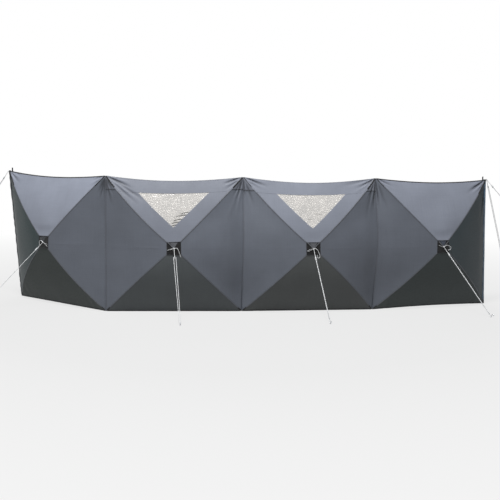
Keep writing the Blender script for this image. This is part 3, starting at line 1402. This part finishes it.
def make_hub(i):
    """The moulded hub: a ribbed disc, four pole sockets with their pins, a bolt and a pull strap."""
    build = Build()
    back = HUB[i] - (HUB_SET + HUB_H) * FRONT[i]
    middle = HUB[i] - (HUB_SET + 0.45 * HUB_H) * FRONT[i]
    build.add(*lathe(HUB_PROFILE, back, FRONT[i], UP, 64))
    for k in range(8):
        turn = math.radians(45 * k + 22.5)
        out = math.cos(turn) * RUN[i] + math.sin(turn) * UP
        rib = back + 0.0150 * out - 0.0004 * FRONT[i]
        build.add(*block(rib, out, np.cross(FRONT[i], out), FRONT[i], (0.0085, 0.0018, 0.0032), 0.0004))
    at, radius = zip(*SOCKET_PROFILE)
    metal = Build().add(*lathe(BOLT_PROFILE, back, FRONT[i], UP, 6))
    for c in range(4):
        path = pole_path(i, c, at)
        build.add(*tube(path, radius, 24, FRONT[i]))
        out = unit(path[-1] - path[0])
        side = unit(np.cross(FRONT[i], out))
        for hand in (-1, 1):
            cheek = middle + 0.0280 * out + hand * 0.0105 * side
            build.add(*block(cheek, out, side, unit(np.cross(out, side)), (0.020, 0.0030, 0.016), 0.0010))
        out = unit(np.diff(pole_path(i, c, (0.02, 0.04)), axis=0)[0])
        side = unit(np.cross(FRONT[i], out))
        metal.add(*lathe(PIN_PROFILE, middle + 0.0300 * out, side, FRONT[i], 16))
    build.put(i, f"hub_body_{i + 1}", [HUB_PLASTIC], "hub_plastic", f"hub_{i + 1}", sharp=30)
    metal.put(i, f"hub_pins_{i + 1}", [PEG_STEEL], "peg_steel", sharp=30)
    k = np.linspace(0, 1, 26)[:, None]
    arch = np.maximum(np.sin(math.pi * k), 0.0)
    droop = back - (0.001 + 0.030 * arch**0.8) * FRONT[i] + (0.012 - 0.055 * k * k - 0.02 * arch) * UP
    pull = Build().add(*strap(droop, unit(-FRONT[i] + 0.4 * UP), 0.020, 0.0016))
    pull.put(i, f"hub_pull_{i + 1}", [WEBBING], "webbing_black")


def make_ferrules(i):
    """Metal ferrules half way along the poles, whose rods are the CAD nodes."""
    build = Build()
    for c in range(4):
        half = pole_end(i, c) / 2 + 0.01 * (c - 1.5)
        path = pole_path(i, c, half + np.array([-0.030, -0.029, -0.027, 0.027, 0.029, 0.030]))
        build.add(*tube(path, [0.0048, 0.0056, 0.0059, 0.0059, 0.0056, 0.0048], 20, FRONT[i]))
    build.put(i, f"ferrules_{i + 1}", [FERRULE], "peg_steel", sharp=30)


# How far a pole's pocket and cap are drawn back at a fold
CAP_BACK = 0.0045
SPIGOT_PROFILE = [
    (0.0, 0.0050), (0.0006, 0.0062), (0.002, 0.0070), (0.018, 0.0070), (0.0185, 0.0060), (0.0215, 0.0060),
    (0.022, 0.0070), (0.052, 0.0069), (0.058, 0.0066), (0.0605, 0.0056), (0.0616, 0.0038), (0.0620, 0.0012),
]
# Side view of a peg loop: how far behind the cloth, and height
LOOP_PROFILE = [
    (0.006, 0.052), (0.009, 0.034), (0.016, 0.016), (0.028, 0.0062), (0.042, 0.0046), (0.052, 0.0040),
    (0.054, 0.0026), (0.050, 0.0014), (0.036, 0.0012), (0.022, 0.0012), (0.012, 0.0030), (0.0075, 0.014),
]


def add_spigot(sleeves, caps, i, c):
    """The upright spigot at a free top corner, with the webbing that ties it to the cloth."""
    outward = side_sign(c) * RUN[i]
    foot = CORNER[i][c] - SPIGOT_IN * outward - SPIGOT_BACK * FRONT[i] + (SPIGOT_PAST - SPIGOT_H) * UP
    caps.add(*lathe(SPIGOT_PROFILE, foot, UP, RUN[i], 32))
    hold = foot + 0.020 * UP
    a = np.linspace(0, 2 * math.pi, 33)[:, None]
    ring = hold + 0.0078 * (np.cos(a) * RUN[i] + np.sin(a) * FRONT[i]) + 0.002 * np.sin(2 * a) * UP
    sleeves.add(*strap(ring, unit_rows(ring - hold), 0.012, 0.0014))
    tab = CORNER[i][c] - POLE_SET * FRONT[i] - 0.012 * UP - 0.010 * outward - hold
    path = hold + np.linspace(0, 1, 8)[:, None] * tab
    sleeves.add(*strap(path, UP * 0.2 + unit(np.cross(tab, UP)), 0.012, 0.0014))


def make_pockets(i):
    """Cloth pockets with two bands over the pole tips, their caps, and the spigots of a free end."""
    sleeves = Build()
    caps = Build()
    k = np.linspace(0, 1, 26)
    radius = 0.0066 + 0.0007 * np.exp(-k / 0.05) + 0.00025 * np.sin(41 * k) * np.sin(math.pi * k)
    radius = radius - 0.0012 * smooth((k - 0.94) / 0.06)
    for c in range(4):
        # So that the tips at a fold keep clear of each other as it turns
        tip = pole_end(i, c) - (0.0 if is_free(i, c) else CAP_BACK)
        sleeves.add(*tube(pole_path(i, c, np.linspace(tip - POCKET_L, tip, 26)), radius, 20, FRONT[i]))
        for a, b in ((0.10, 0.24), (0.62, 0.76)):
            band = np.linspace(tip - POCKET_L * (1 - a), tip - POCKET_L * (1 - b), 6)
            sleeves.add(*tube(pole_path(i, c, band), 0.0075, 20, FRONT[i]))
        cap = pole_path(i, c, np.linspace(tip - 0.004, tip + 0.005, 6))
        caps.add(*tube(cap, [0.0062, 0.0064, 0.0064, 0.0062, 0.0057, 0.0046], 20, FRONT[i]))
        if is_free(i, c) and is_top(c):
            add_spigot(sleeves, caps, i, c)
    sleeves.put(i, f"pole_sleeves_{i + 1}", [WEBBING], "webbing_black", f"pole_pockets_{i + 1}")
    caps.put(i, f"tip_caps_{i + 1}", [CAP_PLASTIC], "hub_plastic", sharp=30)


def make_foot_loop(i, k):
    """The webbing loop at the foot of a fold or an end, for a peg, clear of the next bay's poles."""
    back = -FRONT[i]
    inward = RUN[i] * (1 if k == i else -1) * (0.010 if k in (0, 4) else 0.0145)
    path = np.array([FOOT[k] + inward + out * back + up * UP for out, up in LOOP_PROFILE])
    facing = np.cross(np.gradient(path, axis=0), np.cross(UP, back))
    build = Build().add(*strap(path, unit_rows(facing), 0.018, 0.0014))
    build.put(i, f"peg_loop_{k + 1}", [WEBBING], "webbing_black")


for bay in BAYS:
    make_hub(bay)
    make_ferrules(bay)
    make_pockets(bay)
    for node, finish in (("poles", POLE_FIBRE), ("pegs", PEG_STEEL)):
        materials = frame["nodes"][f"{node}_{bay + 1}"].data.materials
        materials.clear()
        materials.append(finish)
for loop_bay, foot_at in ((0, 0), (1, 1), (1, 2), (2, 3), (3, 4)):
    make_foot_loop(loop_bay, foot_at)

# ---- Guys ----

# Length of a turn where the two strands are wound round each other
TWISTS = {2: 0.040, 3: 0.030}


def end_guys(i):
    """Anchor and peg of each guy from the free top corner of an end bay."""
    side = -1 if i == 0 else 1
    anchor = CORNER[i][TL if side < 0 else TR] + side * (LINE_R + 0.008) * RUN[i]
    foot = FOOT[0 if side < 0 else 4]
    guys = []
    for turn in END_GUY_TURNS:
        a = math.radians(turn)
        guys.append((anchor, foot + END_GUY_OUT * (side * math.cos(a) * RUN[i] - math.sin(a) * FRONT[i])))
    return guys


def hub_guy(i):
    """Anchor and peg of the guy from bay i's hub."""
    return guy_anchor(i), (HUB[i] + GUY_OUT * FRONT[i] + GUY_SIDE[i] * RUN[i]) * (1, 1, 0)


def add_guy(cords, plastic, anchor, ground, spread, twist=0):
    """One line to the runner, then two strands to the peg, wound round each other if twist is set."""
    foot = ground + GUY_FOOT_Z * UP
    x = unit(foot - anchor)
    y = unit(np.cross(UP, x))
    z = np.cross(x, y)
    runner = anchor + RUNNER_AT * x
    cords.add(*tube([anchor + x * k for k in np.linspace(0.0, RUNNER_AT - 0.006, 12)], LINE_R, 8, y))
    length = float(np.linalg.norm(foot - runner))
    apart = PEG_R + LINE_R + 0.0005
    run = np.linspace(0, 1, int(length / (0.004 if twist else 0.03)) + 1)[:, None] * length
    gap = spread + (apart - spread) * run / length
    wound = smooth((run - 0.02) / 0.05) * smooth((length - run - 0.03) / 0.06) if twist else 0.0
    angle = 2 * math.pi * run / twist * wound if twist else 0.0
    tight = gap + (LINE_R + 0.0002 - gap) * wound
    for hand in (-1, 1):
        path = runner + run * x + hand * tight * (np.cos(angle) * y + np.sin(angle) * z)
        cords.add(*tube(path, LINE_R, 8, z))
    turn = np.linspace(-math.pi / 2, math.pi / 2, 13)[:, None]
    cords.add(*tube(foot + apart * (np.cos(turn) * x + np.sin(turn) * y), LINE_R, 8, UP))
    taper = np.linspace(0, 1, 9)
    rounded = 0.0012 * (1 - smooth(np.minimum(taper, 1 - taper) / 0.12))
    wide = 0.0058 + (spread - 0.0018) * smooth(taper) - rounded
    plastic.add(*tube([runner + (-0.019 + 0.036 * k) * x for k in taper], wide, 20, z, 0.34))
    core = [runner + k * x for k in (-0.0155, -0.0125, 0.0085, 0.0115)]
    plastic.add(*tube(core, [0.0030, 0.0040, 0.0040, 0.0030], 14, y))


def make_guys(i):
    cords = Build()
    plastic = Build()
    add_guy(cords, plastic, *hub_guy(i), STRAND_GAP[i], TWISTS.get(i, 0))
    if i in END_BAYS:
        for anchor, ground in end_guys(i):
            add_guy(cords, plastic, anchor, ground, STRAND_GAP[i])
        at = CORNER[i][TL if i == 0 else TR]
        out = unit(anchor - at)
        a = np.linspace(0, 2 * math.pi, 33)[:, None]
        ring = Build().add(*tube(anchor + 0.0062 * (np.cos(a) * out + np.sin(a) * UP), 0.0014, 10, FRONT[i]))
        ring.put(i, f"corner_ring_{i + 1}", [PEG_STEEL], "peg_steel")
        start = at - 0.030 * out - 0.004 * UP
        path = start + np.linspace(0, 1, 8)[:, None] * (anchor - at + 0.026 * out)
        tab = Build().add(*strap(path, FRONT[i], 0.014, 0.0030))
        tab.put(i, f"corner_tab_{i + 1}", [WEBBING], "webbing_black")
    cords.put(i, f"guy_lines_{i + 1}", [CORD_WHITE], "guy_cord", f"guys_{i + 1}")
    plastic.put(i, f"runners_{i + 1}", [RUNNER_PLASTIC], "hub_plastic", sharp=30)


for bay in BAYS:
    make_guys(bay)

# ---- Stage and light ----

FLOOR_HALF = 60
# The floor's own white, from one share at one distance from the origin to another at another
FLOOR_WHITENS = (2.5, 9.0, 0.74, 1.0)


def make_stage():
    """A pale floor that lightens to the white of the backdrop, and takes the object's shadow."""
    floor = bpy.data.meshes.new("floor")
    corners = [(a * FLOOR_HALF, b * FLOOR_HALF, 0) for a, b in ((-1, -1), (1, -1), (1, 1), (-1, 1))]
    floor.from_pydata(corners, [], [(0, 1, 2, 3)])
    s = Shader("floor")
    away = s.node("ShaderNodeVectorMath", {"operation": "LENGTH"}, s.place()).outputs["Value"]
    s.set(Base_Color=(0.30, 0.30, 0.296, 1.0), Roughness=0.9)
    white = s.node("ShaderNodeEmission", Strength=1.0, Color=(1, 1, 1, 1)).outputs[0]
    rays = s.node("ShaderNodeLightPath").outputs
    seen = s.math("MAXIMUM", rays["Is Camera Ray"], rays["Is Glossy Ray"])
    seen = s.math("MAXIMUM", seen, rays["Is Transmission Ray"])
    seen = s.math("MULTIPLY", seen, s.between(away, *FLOOR_WHITENS))
    mixed = s.node("ShaderNodeMixShader", None, seen, s.principled.outputs[0], white)
    s.feed(s.tree.nodes["Material Output"].inputs["Surface"], mixed.outputs[0])
    floor.materials.append(s.material)
    linked("floor", floor)


def area_light(name, at, size, power):
    """A round lamp that points at the middle of the screen."""
    data = bpy.data.lights.new(name, "AREA")
    data.shape = "DISK"
    data.size = size
    data.energy = power
    light = linked(name, data)
    light.location = at
    light.rotation_euler = (Vector((0, 0, 0.6)) - Vector(at)).to_track_quat("-Z", "Y").to_euler()


def make_light():
    area_light("key", (-1.9, -4.0, 10.7), 2.8, 1230)
    area_light("back", (2.0, 8.0, 6.0), 6.0, 200)
    world = bpy.data.worlds.new("world")
    bpy.context.scene.world = world
    world.use_nodes = True
    tree = world.node_tree
    ambient = tree.nodes["Background"]
    ambient.inputs["Color"].default_value = (0.93, 0.96, 1.0, 1.0)
    ambient.inputs["Strength"].default_value = 0.24
    white = tree.nodes.new("ShaderNodeBackground")
    white.inputs["Color"].default_value = (1, 1, 1, 1)
    rays = tree.nodes.new("ShaderNodeLightPath")
    either = tree.nodes.new("ShaderNodeMath")
    either.operation = "MAXIMUM"
    mixed = tree.nodes.new("ShaderNodeMixShader")
    for output, socket in (
        (rays.outputs["Is Camera Ray"], either.inputs[0]),
        (rays.outputs["Is Transmission Ray"], either.inputs[1]),
        (either.outputs[0], mixed.inputs[0]),
        (ambient.outputs[0], mixed.inputs[1]),
        (white.outputs[0], mixed.inputs[2]),
        (mixed.outputs[0], tree.nodes["World Output"].inputs["Surface"]),
    ):
        tree.links.new(output, socket)


make_stage()
make_light()
bpy.context.scene.view_settings.view_transform = "Standard"
